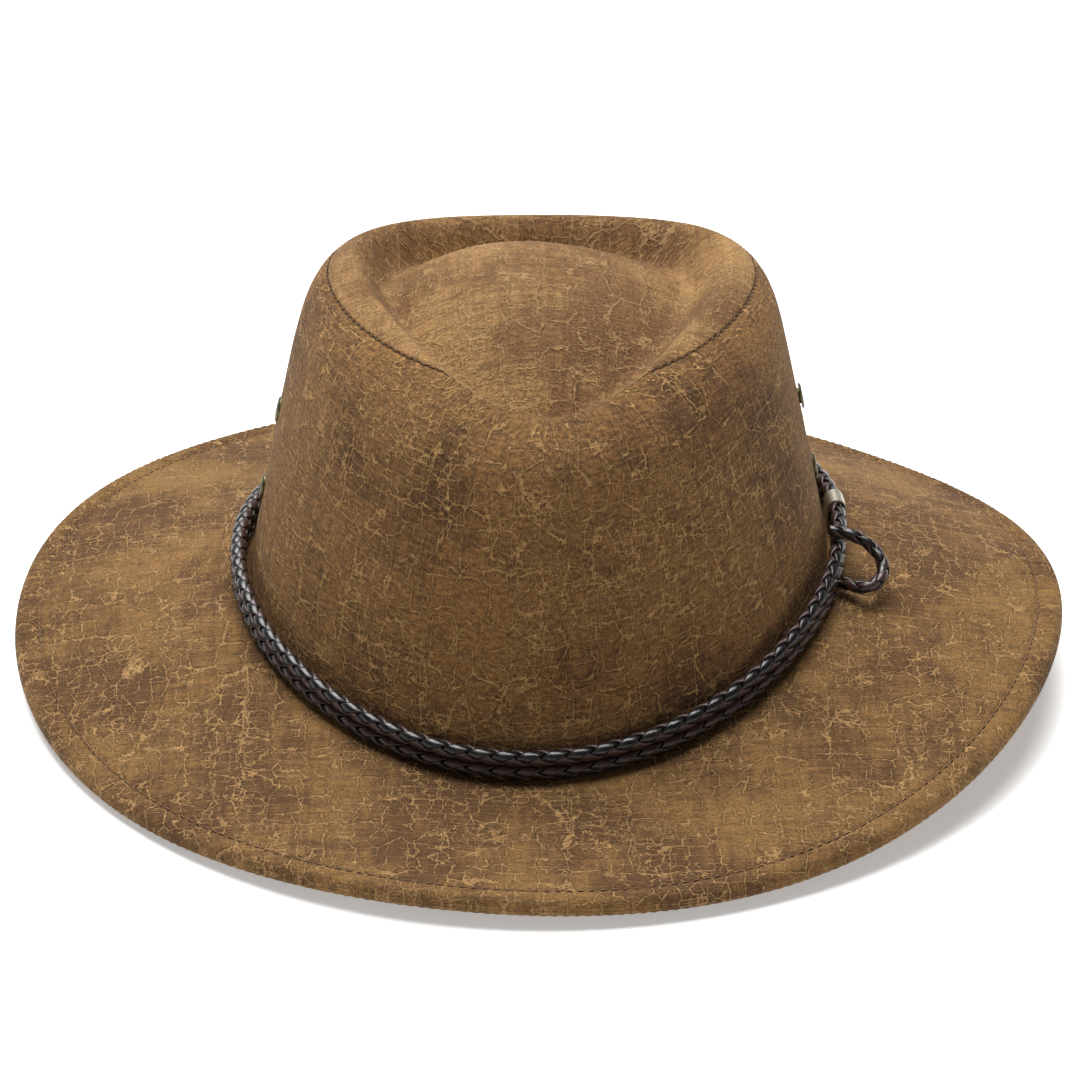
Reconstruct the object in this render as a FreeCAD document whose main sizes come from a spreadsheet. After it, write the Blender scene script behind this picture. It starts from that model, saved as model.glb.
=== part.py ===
"""Wide-brim outback hat: a pinched fabric crown, a wired brim and a braided double-cord band.

Millimetres, +Z up, +Y towards the back of the hat, +X towards the wearer's left.
The hat stands on its brim and the origin is under the middle of the brim.
"""
import FreeCAD, Part
import math
import os
import Sketcher

Vector = FreeCAD.Vector

# ------------------------------------------------------------------ driving dimensions
DIMENSIONS = [
    ("brim_half_width", 157.8, "side to side, to the outside of the rolled edge"),
    ("brim_half_length", 174.0, "front to back"),
    ("edge_mean", 7.7, "mean height of the middle of the rolled edge"),
    ("edge_side_lean", 2.9, "wearer's left edge above the right edge, half the difference"),
    ("edge_front_lean", 1.5, "front edge above the back edge, half the difference"),
    ("edge_saddle", 5.2, "sides of the brim raised above front and back"),
    ("edge_saddle_twist", 2.5, "turns the saddle towards the front left"),
    ("edge_ripple_three", 1.6, "three waves round the edge"),
    ("edge_ripple_four", 1.6, "four waves round the edge, along and across"),
    ("brim_fall", 1.25, "power of the fall from the crown to the edge, 1 is straight"),
    ("panel_thick", 1.0, "faux suede of the brim, one layer"),
    ("core_thick", 1.4, "stiff brim core"),
    ("layer_gap", 0.2, "glue line between two layers"),
    ("roll_radius", 2.7, "outside of the rolled edge"),
    ("channel_width", 7.5, "rolled edge to the stitch line"),
    ("wire_radius", 0.8, "brim wire"),
    ("joiner_length", 10.0, "sleeve over the two wire ends"),
    ("joiner_bore_radius", 0.98, "bore of the sleeve"),
    ("joiner_outer_radius", 1.28, "outside of the sleeve"),
    ("margin_inset", 3.4, "brim reaches this far inside the foot of the crown"),
    ("crown_half_width", 87.0, "foot of the crown, side to side"),
    ("crown_half_length", 105.5, "foot of the crown, front to back"),
    ("crown_centre_back", 1.5, "crown centre behind the brim centre"),
    ("join_mean", 20.3, "mean height of the foot of the crown"),
    ("join_side_lean", 4.6, "foot of the crown higher on the wearer's left"),
    ("join_back_lean", 3.1, "foot of the crown higher at the back"),
    ("join_saddle", 8.4, "sides of the foot raised above front and back"),
    ("crest_half_width", 54.4, "rim of the dent, at its middle"),
    ("crest_spread", 16.6, "rim wider at the back and narrower at the front"),
    ("crest_half_length", 69.5, "rim of the dent, front to back"),
    ("crest_height", 118.1, "rim of the dent at the sides"),
    ("crest_back_rise", 3.6, "back of the rim above its front, half the difference"),
    ("crest_saddle", 11.2, "front and back of the rim below its sides"),
    ("dome_height", 118.5, "top of the dome inside the dent"),
    ("dome_centre_back", 18.0, "top of the dome behind the brim centre"),
    ("dome_centre_side", 5.0, "top of the dome towards the wearer's right"),
    ("valley_reach", 0.78, "valley round the dome, as a part of the way out to the rim"),
    ("valley_depth", 12.5, "valley below the rim"),
    ("dome_power", 2.2, "how flat the top of the dome is"),
    ("crown_thick", 1.2, "faux suede of the crown"),
    ("stiffener_thick", 1.2, "crown stiffener"),
    ("lining_thick", 0.5, "satin lining"),
    ("foot_lift", 0.0023, "layers of the leaning wall start higher, part of the wall per mm"),
    ("tip_seam", 0.95, "height of the seam round the tip, as a part of the wall"),
    ("seam_rise", 0.09, "at the front the seam runs over the rim and into the dent"),
    ("band_height", 30.0, "sweatband, top to bottom"),
    ("band_thick", 1.2, "sweatband leather cloth"),
    ("cord_half_width", 90.4, "middle of the lower band cord, side to side"),
    ("cord_half_length", 108.9, "middle of the lower band cord, front to back"),
    ("cord_rest", 2.9, "middle of the lower cord above the foot of the crown"),
    ("cord_pitch", 4.4, "upper cord above the lower cord"),
    ("upper_cord_radius", 2.2, "upper braided cord"),
    ("lower_cord_radius", 2.1, "lower braided cord"),
    ("loop_radius", 1.8, "cord of the small loop"),
    ("ferrule_length", 8.0, "crimped metal sleeve, along the cords"),
    ("ferrule_width", 5.8, "crimped sleeve across the two cords"),
    ("ferrule_height", 10.2, "crimped sleeve, top to bottom"),
    ("ferrule_wall", 0.5, "sheet metal of the sleeve"),
    ("ferrule_turn", 4.0, "degrees round from the wearer's left, towards the back"),
    ("eyelet_flange_radius", 4.0, "outside of a vent eyelet"),
    ("eyelet_barrel_radius", 2.4, "outside of its barrel"),
    ("eyelet_bore_radius", 2.0, "vent hole"),
    ("eyelet_dome", 0.8, "height of the rolled flange"),
    ("eyelet_length", 4.2, "barrel, through all the layers"),
    ("eyelet_hole_radius", 2.6, "hole punched in the layers"),
    ("washer_thick", 0.4, "washer behind the lining"),
    ("washer_bore_radius", 2.5, "bore of the washer"),
    ("upper_vent_height", 0.52, "upper vent, as a part of the wall"),
    ("lower_vent_height", 0.25, "lower vent, as a part of the wall"),
    ("vent_turn", 3.0, "degrees round from the side, towards the back"),
]

doc = FreeCAD.newDocument("OutbackHat")
sheet = doc.addObject("Spreadsheet::Sheet", "Dimensions")
for row, (alias, value, meaning) in enumerate(DIMENSIONS, start=1):
    sheet.set("A%d" % row, str(value))
    sheet.setAlias("A%d" % row, alias)
    sheet.set("B%d" % row, meaning)
doc.recompute()


sizes = {alias: float(sheet.get(alias)) for alias, value, meaning in DIMENSIONS}


def size(alias):
    """A driving dimension, as the sheet holds it."""
    return sizes[alias]


def bind(item, **formulas):
    """Tie properties of an object to cells of the sheet."""
    for name, formula in formulas.items():
        item.setExpression(name, formula.replace("$", "Dimensions."))


# ------------------------------------------------------------------ the shape of the fabric
STEPS = 48                                     # stations round the hat
TURNS = [2 * math.pi * i / STEPS for i in range(STEPS)]
BACK = math.pi / 2


def edge_height(turn):
    """Middle of the rolled brim edge: a bent saddle with a few slack waves."""
    height = size("edge_mean")
    height += size("edge_side_lean") * math.cos(turn) - size("edge_front_lean") * math.sin(turn)
    height += size("edge_saddle") * math.cos(2 * turn)
    height -= size("edge_saddle_twist") * math.sin(2 * turn)
    height += size("edge_ripple_three") * math.cos(3 * turn)
    height += size("edge_ripple_four") * (math.cos(4 * turn) - math.sin(4 * turn))
    return height


def join_height(turn):
    """Foot of the crown, where it stands on the brim."""
    height = size("join_mean") + size("join_side_lean") * math.cos(turn)
    height += size("join_back_lean") * math.sin(turn)
    return height + size("join_saddle") * math.cos(2 * turn)


def crown_oval(turn, inset=0.0, height=0.0):
    """Point on the oval at the foot of the crown, moved in by inset."""
    across = (size("crown_half_width") - inset) * math.cos(turn)
    along = (size("crown_half_length") - inset) * math.sin(turn)
    return Vector(across, along + size("crown_centre_back"), height)


def brim_point(turn, part, inset, above):
    """Point of the brim: part of its width plus inset in from the edge, above its middle."""
    inner = crown_oval(turn, size("margin_inset"))
    edge = Vector(size("brim_half_width") * math.cos(turn),
                  size("brim_half_length") * math.sin(turn), 0)
    part += inset / (edge - inner).Length
    point = edge + (inner - edge) * part
    level = join_height(turn) - size("panel_thick") - size("core_thick") / 2 - 2 * size("layer_gap")
    fall = (1 - part) ** size("brim_fall") * (level - edge_height(turn))
    point.z = level - fall + above
    return point


def crest_point(turn):
    """Rim of the dent: a rounded teardrop, narrow at the front."""
    across, along = math.cos(turn), math.sin(turn)
    x = (size("crest_half_width") + size("crest_spread") * along) * across + 1.0
    y = size("crest_half_length") * along + size("crown_centre_back") - 0.5
    z = size("crest_height") + size("crest_back_rise") * along - size("crest_saddle") * along ** 2
    return Vector(x, y, z)


def dent_height(crest_height, reach):
    """Height inside the dent: down from the rim to the valley, then up over the dome."""
    valley = size("valley_reach")
    floor = crest_height - size("valley_depth")
    if reach > valley:
        climb = math.sin(math.pi / 2 * min(1, (reach - valley) / (1 - valley))) ** 2
        return floor + size("valley_depth") * climb
    fall = (abs(reach) / valley) ** size("dome_power")
    return size("dome_height") - (size("dome_height") - floor) * fall


def seam_station(turn):
    """Where the seam between wall and tip lies, as a station of the crown."""
    front = (1 - math.sin(turn)) / 2
    return size("tip_seam") + size("seam_rise") * front ** 4


def crown_point(turn, station):
    """Outside of the crown: 0 to 1 climbs the wall, 1 to 2 runs in over the dent."""
    crest = crest_point(turn)
    if station <= 1:
        foot = crown_oval(turn, 0, join_height(turn))
        spread = 1 - 0.5 * station - 0.12 * station ** 2
        if station > 0:
            spread -= 0.38 * station ** 17.8
        point = crest + (foot - crest) * spread
        point.z = foot.z + (crest.z - foot.z) * station
        return point
    reach = 2 - station
    centre = Vector(-size("dome_centre_side"), size("dome_centre_back"), 0)
    point = centre + (crest - centre) * reach
    levels = [dent_height(crest.z, reach + shift) for shift in (-0.03, 0, 0.03)]
    point.z = sum(levels) / 3
    return point


def inside(turn, station, depth):
    """Crown point moved in by depth, square to the outside surface."""
    small = 0.01
    along = crown_point(turn + small, station) - crown_point(turn - small, station)
    upward = crown_point(turn, station + small) - crown_point(turn, station - small)
    normal = along.cross(upward)
    normal.normalize()
    return crown_point(turn, station) - normal * depth


# ------------------------------------------------------------------ solids from closed rows
def clamped(count, degree):
    """Knots and multiplicities of an open direction with count control rows."""
    inner = count - degree
    knots = [float(i) for i in range(inner + 1)]
    return knots, [degree + 1] + [1] * (inner - 1) + [degree + 1]


def round_face(rows):
    """Smooth face through closed rows of points, one row after the other."""
    degree = min(3, len(rows) - 1)
    around = len(rows[0])
    poles = [[row[i] for row in rows] for i in range(around)]
    knots, mults = clamped(len(rows), degree)
    surface = Part.BSplineSurface()
    surface.buildFromPolesMultsKnots(poles, [1] * (around + 1), mults,
                                     [float(i) for i in range(around + 1)], knots,
                                     True, False, 3, degree)
    return surface.toShape()


def row(point_at, *where):
    """Control points of a smooth closed row round the hat.

    A smooth curve cuts inside its control points, so each is moved out by as much.
    """
    points = [point_at(turn, *where) for turn in TURNS]
    shortfalls = [(point * 2 - points[i - 1] - points[(i + 1) % STEPS]) / 6
                  for i, point in enumerate(points)]
    return [point + shortfall for point, shortfall in zip(points, shortfalls)]


def closed_solid(faces):
    """Sew faces that share their edges into one solid."""
    shell = Part.makeShell(faces)
    shell.sewShape()
    solid = Part.makeSolid(Part.Shell(shell.Faces))
    if solid.Volume < 0:
        solid.reverse()
    return solid


def ring_layer(near, far):
    """Ring between two sheets of rows: closed all round, with an end at each side."""
    return closed_solid([round_face(near), round_face([near[-1], far[-1]]),
                         round_face(far), round_face([far[0], near[0]])])


def flat_disc(points):
    """Flat face inside one closed row of points."""
    around = len(points)
    curve = Part.BSplineCurve()
    curve.buildFromPolesMultsKnots(points, [1] * (around + 1),
                                   [float(i) for i in range(around + 1)], True, 3)
    return Part.Face(Part.Wire([curve.toShape()]))


def cap_layer(near, far):
    """Closed cap between two sheets of rows that both end in a small flat ring."""
    for rows in (near, far):
        middle = sum(point.z for point in rows[-1]) / STEPS
        rows[-1] = [Vector(point.x, point.y, middle) for point in rows[-1]]
    return closed_solid([round_face(near), round_face(far), round_face([far[0], near[0]]),
                         flat_disc(near[-1]), flat_disc(far[-1])])


def rod_section(middle, turn, radius):
    """Round section of a rod or cord that runs round the hat, square to its plan."""
    sides = 8
    reach = radius * 3 / (2 + math.cos(2 * math.pi / sides))
    outward = Vector(math.cos(turn), math.sin(turn), 0)
    leans = [2 * math.pi * side / sides for side in range(sides)]
    return [middle + outward * reach * math.cos(lean) + Vector(0, 0, reach * math.sin(lean))
            for lean in leans]


def round_ring(middle_at, radius):
    """Round cord whose middle line is closed round the hat."""
    poles = [rod_section(middle_at(turn), turn, radius) for turn in TURNS]
    sides = len(poles[0])
    surface = Part.BSplineSurface()
    surface.buildFromPolesMultsKnots(poles, [1] * (STEPS + 1), [1] * (sides + 1),
                                     [float(i) for i in range(STEPS + 1)],
                                     [float(i) for i in range(sides + 1)], True, True, 3, 3)
    solid = Part.makeSolid(Part.makeShell([surface.toShape()]))
    if solid.Volume < 0:
        solid.reverse()
    return solid


def open_ring(middle_at, radius, gap):
    """Round rod that goes nearly all round the hat, with its two ends at the back."""
    spare = gap / size("brim_half_width")
    turns = [BACK + spare + (2 * math.pi - 2 * spare) * i / (2 * STEPS) for i in range(2 * STEPS + 1)]
    rows = [rod_section(middle_at(turn), turn, radius) for turn in turns]
    return closed_solid([round_face(rows), flat_disc(rows[0]), flat_disc(rows[-1])])


def fabric(label, solid):
    """Sub-part whose formed shape no primitive or sketched feature can give."""
    part = doc.addObject("Part::Feature", label)
    part.Shape = solid
    part.Placement = FreeCAD.Placement()
    part.Label = label
    return part


def bound(kind, label, **formulas):
    """Primitive of the document with its sizes tied to the sheet."""
    item = doc.addObject(kind, label)
    item.Label = label
    bind(item, **formulas)
    return item


def cut(label, base, tool):
    """One object with another taken out of it."""
    item = doc.addObject("Part::Cut", label)
    item.Label = label
    item.Base = base
    item.Tool = tool
    return item


def joined(label, items, kind="Part::MultiFuse"):
    """Several objects fused into one, or kept together as a group of solids."""
    item = doc.addObject(kind, label)
    item.Label = label
    setattr(item, "Shapes" if kind == "Part::MultiFuse" else "Links", items)
    return item


def facing(direction):
    """Rotation that turns +Z to a direction."""
    return FreeCAD.Rotation(Vector(0, 0, 1), direction)


# ------------------------------------------------------------------ vents: places and punched holes
VENTS = {}
for side, first in (("left", 0.0), ("right", math.pi)):
    lean = math.radians(size("vent_turn"))
    turn = first + lean if side == "left" else first - lean
    for level in ("upper", "lower"):
        station = size(level + "_vent_height")
        place = inside(turn, station, 0)
        VENTS[side, level] = (place, place - inside(turn, station, 1))


def punched(label, solid):
    """Crown layer with the holes of the vents punched through it."""
    whole = fabric(label + "_unpunched", solid)
    drills = []
    for (side, level), (place, outward) in VENTS.items():
        drill = bound("Part::Cylinder", "punch_%s_%s_%s" % (label, side, level),
                      Radius="$eyelet_hole_radius", Height="4 * $eyelet_length")
        start = place - outward * 2 * size("eyelet_length")
        drill.Placement = FreeCAD.Placement(start, facing(outward))
        drills.append(drill)
    return cut(label, whole, joined("punch_" + label, drills))


# ------------------------------------------------------------------ crown: cloth, stiffener, lining
SHOULDER = 0.86                                # the wall keeps level rows up to here
WALL_ROWS = [0.1, 0.25, 0.45, 0.62, 0.76, SHOULDER]
RIM = 1.06                                     # and the dent has its own from here
DENT_ROWS = [1.1, 1.17, 1.24, 1.32, 1.42, 1.54, 1.68, 1.83, 1.97]


def between(low, high, part):
    """Station between two others, as a function of the turn round the hat."""
    def station(turn):
        first = low(turn) if callable(low) else low
        last = high(turn) if callable(high) else high
        return first + (last - first) * part
    return station


def layer_rows(stations, depth):
    """Rows of one face of a crown layer at the given depth."""
    def point(turn, station):
        return inside(turn, station(turn) if callable(station) else station, depth)
    return [row(point, station) for station in stations]


def above_seam(turn):
    """Lower edge of the tip, a hair above the wall."""
    return seam_station(turn) + 0.006


wall = WALL_ROWS + [between(SHOULDER, seam_station, part) for part in (0.4, 0.7, 1)]
tip = [between(above_seam, RIM, part) for part in (0, 0.35, 0.7)] + DENT_ROWS
stiffener_depth = size("crown_thick") + size("layer_gap")
lining_depth = stiffener_depth + size("stiffener_thick") + size("layer_gap")
washer_depth = lining_depth + size("lining_thick") + 2 * size("layer_gap") + size("washer_thick")
CROWN_LAYERS = [
    ("crown_side", "crown_tip", 0.0, size("crown_thick")),
    ("crown_side_stiffener", "crown_tip_stiffener", stiffener_depth, size("stiffener_thick")),
    ("crown_side_lining", "crown_tip_lining", lining_depth, size("lining_thick")),
]
sub_parts = []
for side_label, tip_label, depth, thick in CROWN_LAYERS:
    foot = (depth + thick) * size("foot_lift")
    sub_parts.append(punched(side_label, ring_layer(layer_rows([foot] + wall, depth),
                                                    layer_rows([foot] + wall, depth + thick))))
    sub_parts.append(fabric(tip_label, cap_layer(layer_rows(tip, depth),
                                                 layer_rows(tip, depth + thick))))

# ------------------------------------------------------------------ sweatband
band_depth = washer_depth + size("layer_gap")
wall_height = size("crest_height") - size("join_mean")
band_stations = [-0.028 + size("band_height") / wall_height * i / 5 for i in range(6)]
sub_parts.append(fabric("sweatband", ring_layer(
    layer_rows(band_stations, band_depth),
    layer_rows(band_stations, band_depth + size("band_thick")))))

# ------------------------------------------------------------------ brim: two panels, core and wire
BRIM_PARTS = (1.0, 0.8, 0.6, 0.4, 0.22)
core_half = size("core_thick") / 2
panel_inside = core_half + size("layer_gap")


def panel_rows(radius, flat, upward):
    """One face of a brim panel, from the crown out to the seam on the rolled edge."""
    where = [(part, 0, flat) for part in BRIM_PARTS]
    where.append((0, size("channel_width") + 1, flat))
    for lean in range(90, -1, -18):
        across = math.cos(math.radians(lean))
        along = max(math.sin(math.radians(lean)), 0.02)
        where.append((0, size("roll_radius") - radius * across, radius * along))
    return [row(brim_point, part, inset, upward * above) for part, inset, above in where]


for label, upward in (("brim_top_panel", 1), ("brim_under_panel", -1)):
    outer = panel_rows(size("roll_radius"), panel_inside + size("panel_thick"), upward)
    inner = panel_rows(size("roll_radius") - size("panel_thick"), panel_inside, upward)
    sub_parts.append(fabric(label, ring_layer(outer, inner)))

core_where = [(part, 0) for part in BRIM_PARTS] + [(0, size("channel_width") - 1.5)]
near = [row(brim_point, part, inset, core_half) for part, inset in core_where]
far = [row(brim_point, part, inset, -core_half) for part, inset in core_where]
sub_parts.append(fabric("brim_core", ring_layer(near, far)))


def wire_middle(turn):
    """Middle of the wire inside the rolled edge."""
    return brim_point(turn, 0, size("roll_radius"), 0)


wire_gap = size("wire_radius") / 2
sub_parts.append(fabric("brim_wire", open_ring(wire_middle, size("wire_radius"), wire_gap)))
wire_end = wire_middle(BACK)

sleeve = bound("Part::Cylinder", "joiner_outside", Radius="$joiner_outer_radius",
               Height="$joiner_length")
bore = bound("Part::Cylinder", "joiner_bore", Radius="$joiner_bore_radius",
             Height="$joiner_length")
joiner = cut("wire_joiner", sleeve, bore)
run = wire_middle(BACK + 0.02) - wire_middle(BACK - 0.02)
run.normalize()
joiner.Placement = FreeCAD.Placement(wire_end - run * size("joiner_length") / 2, facing(run))
sub_parts.append(joiner)


# ------------------------------------------------------------------ band: two cords, sleeve and loop
def cord_middle(lift):
    """Middle line of a band cord that lies a given lift above the lower cord."""
    def point(turn):
        return Vector(size("cord_half_width") * math.cos(turn),
                      size("cord_half_length") * math.sin(turn) + size("crown_centre_back"),
                      join_height(turn) + size("cord_rest") + lift)
    return point


for label, lift, radius in (("band_cord_upper", size("cord_pitch"), size("upper_cord_radius")),
                            ("band_cord_lower", 0.0, size("lower_cord_radius"))):
    sub_parts.append(fabric(label, round_ring(cord_middle(lift), radius)))


def slot_prism(name, wall):
    """Upright block with round ends, smaller by wall all round."""
    radius = "($ferrule_width / 2 - %s)" % wall
    reach = "($ferrule_height - $ferrule_width)"
    block = bound("Part::Box", name + "_block", Length="2 * " + radius, Width=reach,
                  Height="$ferrule_length")
    middle = size("ferrule_width") / 2 - (size("ferrule_wall") if "wall" in wall else 0)
    half = (size("ferrule_height") - size("ferrule_width")) / 2
    block.Placement = FreeCAD.Placement(Vector(-middle, -half, 0), FreeCAD.Rotation())
    pieces = [block]
    for end, where in (("top", half), ("bottom", -half)):
        post = bound("Part::Cylinder", "%s_%s" % (name, end), Radius=radius,
                     Height="$ferrule_length")
        post.Placement = FreeCAD.Placement(Vector(0, where, 0), FreeCAD.Rotation())
        pieces.append(post)
    return joined(name, pieces)


ferrule = cut("band_ferrule", slot_prism("ferrule_outside", "0"),
              slot_prism("ferrule_inside", "$ferrule_wall"))
crimp_turn = math.radians(size("ferrule_turn"))
crimp_middle = cord_middle(size("cord_pitch") / 2)
crimp_run = crimp_middle(crimp_turn + 0.02) - crimp_middle(crimp_turn - 0.02)
crimp_run.normalize()
crimp_up = Vector(0, 0, 1) - crimp_run * crimp_run.z
crimp_frame = FreeCAD.Rotation(crimp_up.cross(crimp_run), crimp_up, crimp_run, "ZYX")
crimp_start = crimp_middle(crimp_turn) - crimp_run * size("ferrule_length") / 2
ferrule.Placement = FreeCAD.Placement(crimp_start, crimp_frame)
sub_parts.append(ferrule)

# The loop starts on top of the pair beside the crown, swings out over the brim and
# tucks back in below the pair.
LOOP_ROUTE = [
    Vector(86.6, -17.5, 44.0),
    Vector(92.8, -19.5, 44.2),
    Vector(99.2, -22.5, 41.0),
    Vector(102.2, -28.5, 37.4),
    Vector(99.4, -35.8, 35.2),
    Vector(94.0, -36.4, 34.0),
    Vector(89.4, -30.4, 33.3),
]


def rounded_path(points):
    """Straight runs joined by tangent arcs, each as large as its two runs allow."""
    edges = []
    start = points[0]
    radii = []
    for before, corner, after in zip(points, points[1:], points[2:]):
        into = corner - before
        away = after - corner
        half_turn = into.getAngle(away) / 2
        reach = 0.45 * min(into.Length, away.Length)
        radii.append(reach / math.tan(half_turn))
        into.normalize()
        away.normalize()
        first = corner - into * reach
        last = corner + away * reach
        bow = (away - into).normalize()
        middle = corner + bow * radii[-1] * (1 / math.cos(half_turn) - 1)
        edges.append(Part.LineSegment(start, first).toShape())
        edges.append(Part.Arc(first, middle, last).toShape())
        start = last
    edges.append(Part.LineSegment(start, points[-1]).toShape())
    return Part.Wire(edges), radii


loop_path, loop_radii = rounded_path(LOOP_ROUTE)
loop_run = LOOP_ROUTE[1] - LOOP_ROUTE[0]
loop_section = Part.Wire([Part.makeCircle(size("loop_radius"), LOOP_ROUTE[0], loop_run)])
loop_solid = loop_path.makePipeShell([loop_section], True, False)
sub_parts.append(fabric("band_loop", loop_solid))
print("loop radii", [round(radius, 1) for radius in loop_radii])
print("loop volume over section times length",
      loop_solid.Volume / (math.pi * size("loop_radius") ** 2 * loop_path.Length))

# ------------------------------------------------------------------ vent eyelets and washers
eyelet = doc.addObject("PartDesign::Body", "vent_eyelet")
outline = eyelet.newObject("Sketcher::SketchObject", "eyelet_outline")
front_plane = [f for f in eyelet.Origin.OriginFeatures if f.Role == "XZ_Plane"][0]
outline.AttachmentSupport = [(front_plane, "")]
outline.MapMode = "FlatFace"
bore_r, barrel_r = size("eyelet_bore_radius"), size("eyelet_barrel_radius")
flange_r, tail = size("eyelet_flange_radius"), size("eyelet_length")
corners = [Vector(flange_r, 0, 0), Vector(barrel_r, 0, 0), Vector(barrel_r, -tail, 0),
           Vector(bore_r, -tail, 0), Vector(bore_r, 0, 0)]
for first, last in zip(corners, corners[1:]):
    outline.addGeometry(Part.LineSegment(first, last), False)
flange_top = Vector((bore_r + flange_r) / 2, size("eyelet_dome"), 0)
outline.addGeometry(Part.Arc(corners[-1], flange_top, corners[0]), False)
START, END, ARC, ORIGIN_LINE = 1, 2, 4, -1
for line in range(3):
    outline.addConstraint(Sketcher.Constraint("Coincident", line, END, line + 1, START))
    level_or_plumb = "Vertical" if line % 2 else "Horizontal"
    outline.addConstraint(Sketcher.Constraint(level_or_plumb, line))
outline.addConstraint(Sketcher.Constraint("Coincident", ARC, START, 0, START))
outline.addConstraint(Sketcher.Constraint("Coincident", ARC, END, 3, END))
outline.addConstraint(Sketcher.Constraint("PointOnObject", 0, START, ORIGIN_LINE))
outline.addConstraint(Sketcher.Constraint("PointOnObject", 3, END, ORIGIN_LINE))
half_flange = "(($eyelet_flange_radius - $eyelet_bore_radius) / 2)"
OUTLINE_SIZES = [
    ("flange", ("DistanceX", -1, 1, 0, START, flange_r), "$eyelet_flange_radius"),
    ("barrel", ("DistanceX", -1, 1, 1, START, barrel_r), "$eyelet_barrel_radius"),
    ("bore", ("DistanceX", -1, 1, 3, START, bore_r), "$eyelet_bore_radius"),
    ("tail", ("DistanceY", 1, END, 1, START, tail), "$eyelet_length"),
    ("roll", ("Radius", ARC, outline.Geometry[ARC].Radius),
     "(%s ^ 2 + $eyelet_dome ^ 2) / (2 * $eyelet_dome)" % half_flange),
]
for name, constraint, formula in OUTLINE_SIZES:
    place = outline.addConstraint(Sketcher.Constraint(*constraint))
    outline.renameConstraint(place, name)
    bind(outline, **{"Constraints." + name: formula})
rolled = eyelet.newObject("PartDesign::Revolution", "eyelet_turned")
rolled.Profile = outline
rolled.ReferenceAxis = (outline, ["V_Axis"])
rolled.Angle = 360
doc.recompute()

for side in ("left", "right"):
    eyelets, washers = [], []
    for level in ("upper", "lower"):
        place, outward = VENTS[side, level]
        copy = doc.addObject("App::Link", "eyelet_%s_%s" % (side, level))
        copy.LinkedObject = eyelet
        copy.Placement = FreeCAD.Placement(place + outward * 0.2, facing(outward))
        eyelets.append(copy)
        name = "washer_%s_%s" % (side, level)
        disc = bound("Part::Cylinder", name + "_disc", Radius="$eyelet_flange_radius",
                     Height="$washer_thick")
        hole = bound("Part::Cylinder", name + "_bore", Radius="$washer_bore_radius",
                     Height="$washer_thick")
        washer = cut(name, disc, hole)
        washer.Placement = FreeCAD.Placement(place - outward * washer_depth, facing(outward))
        washers.append(washer)
    sub_parts.append(joined("vent_eyelets_" + side, eyelets, "Part::Compound"))
    sub_parts.append(joined("vent_washers_" + side, washers, "Part::Compound"))

# ------------------------------------------------------------------ check and write
doc.recompute()
for item in doc.Objects:
    if "Invalid" in item.State or "Error" in item.State:
        raise RuntimeError("%s did not recompute: %s" % (item.Label, item.State))
os.makedirs("parts", exist_ok=True)
for part in sub_parts:
    if part.Shape.isNull() or not part.Shape.isValid():
        raise RuntimeError("%s has no valid shape" % part.Label)
    part.Shape.exportStep("parts/%s.step" % part.Label)
    print("%-24s %d solid  %9.1f mm3" % (part.Label, len(part.Shape.Solids), part.Shape.Volume))
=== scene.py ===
"""Wide-brim outback hat: pinched faux suede crown, wired brim, braided double-cord band."""
import math

import bpy
import numpy as np
from mathutils import Matrix, Vector, noise


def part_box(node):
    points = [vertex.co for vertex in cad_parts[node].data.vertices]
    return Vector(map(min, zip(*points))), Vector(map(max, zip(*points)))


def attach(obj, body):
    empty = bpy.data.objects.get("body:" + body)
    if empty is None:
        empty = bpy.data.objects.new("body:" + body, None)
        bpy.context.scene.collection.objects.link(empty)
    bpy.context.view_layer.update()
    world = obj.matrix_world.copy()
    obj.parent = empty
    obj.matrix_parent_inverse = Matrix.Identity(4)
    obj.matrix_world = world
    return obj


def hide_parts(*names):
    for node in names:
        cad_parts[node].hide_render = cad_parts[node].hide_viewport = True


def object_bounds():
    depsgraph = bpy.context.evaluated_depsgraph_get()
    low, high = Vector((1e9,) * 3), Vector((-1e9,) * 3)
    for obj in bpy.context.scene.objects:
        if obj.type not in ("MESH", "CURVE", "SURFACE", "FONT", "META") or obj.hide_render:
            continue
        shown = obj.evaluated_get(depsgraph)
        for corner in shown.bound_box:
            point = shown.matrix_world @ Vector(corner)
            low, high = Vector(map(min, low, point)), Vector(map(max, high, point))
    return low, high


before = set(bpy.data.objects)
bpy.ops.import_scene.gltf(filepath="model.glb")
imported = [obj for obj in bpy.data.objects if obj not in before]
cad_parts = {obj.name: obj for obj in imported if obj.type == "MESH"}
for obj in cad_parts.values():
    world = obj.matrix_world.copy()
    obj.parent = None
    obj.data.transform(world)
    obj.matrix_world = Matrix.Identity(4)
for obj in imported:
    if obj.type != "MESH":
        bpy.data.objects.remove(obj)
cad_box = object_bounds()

MM = 0.001

# ---------------------------------------------------------------- brim core, wire and joiner
# Inside the brim lie a stiff felt board, a spring wire that keeps the edge in shape, and the
# brass tube that holds the wire's two ends. The board is glued between the two panels.


def linear(hexa):
    """sRGB hex colour as linear RGBA."""
    parts = [int(hexa[i:i + 2], 16) / 255 for i in (0, 2, 4)]
    return tuple(c / 12.92 if c <= 0.04045 else ((c + 0.055) / 1.055) ** 2.4 for c in parts) + (1.0,)


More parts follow.
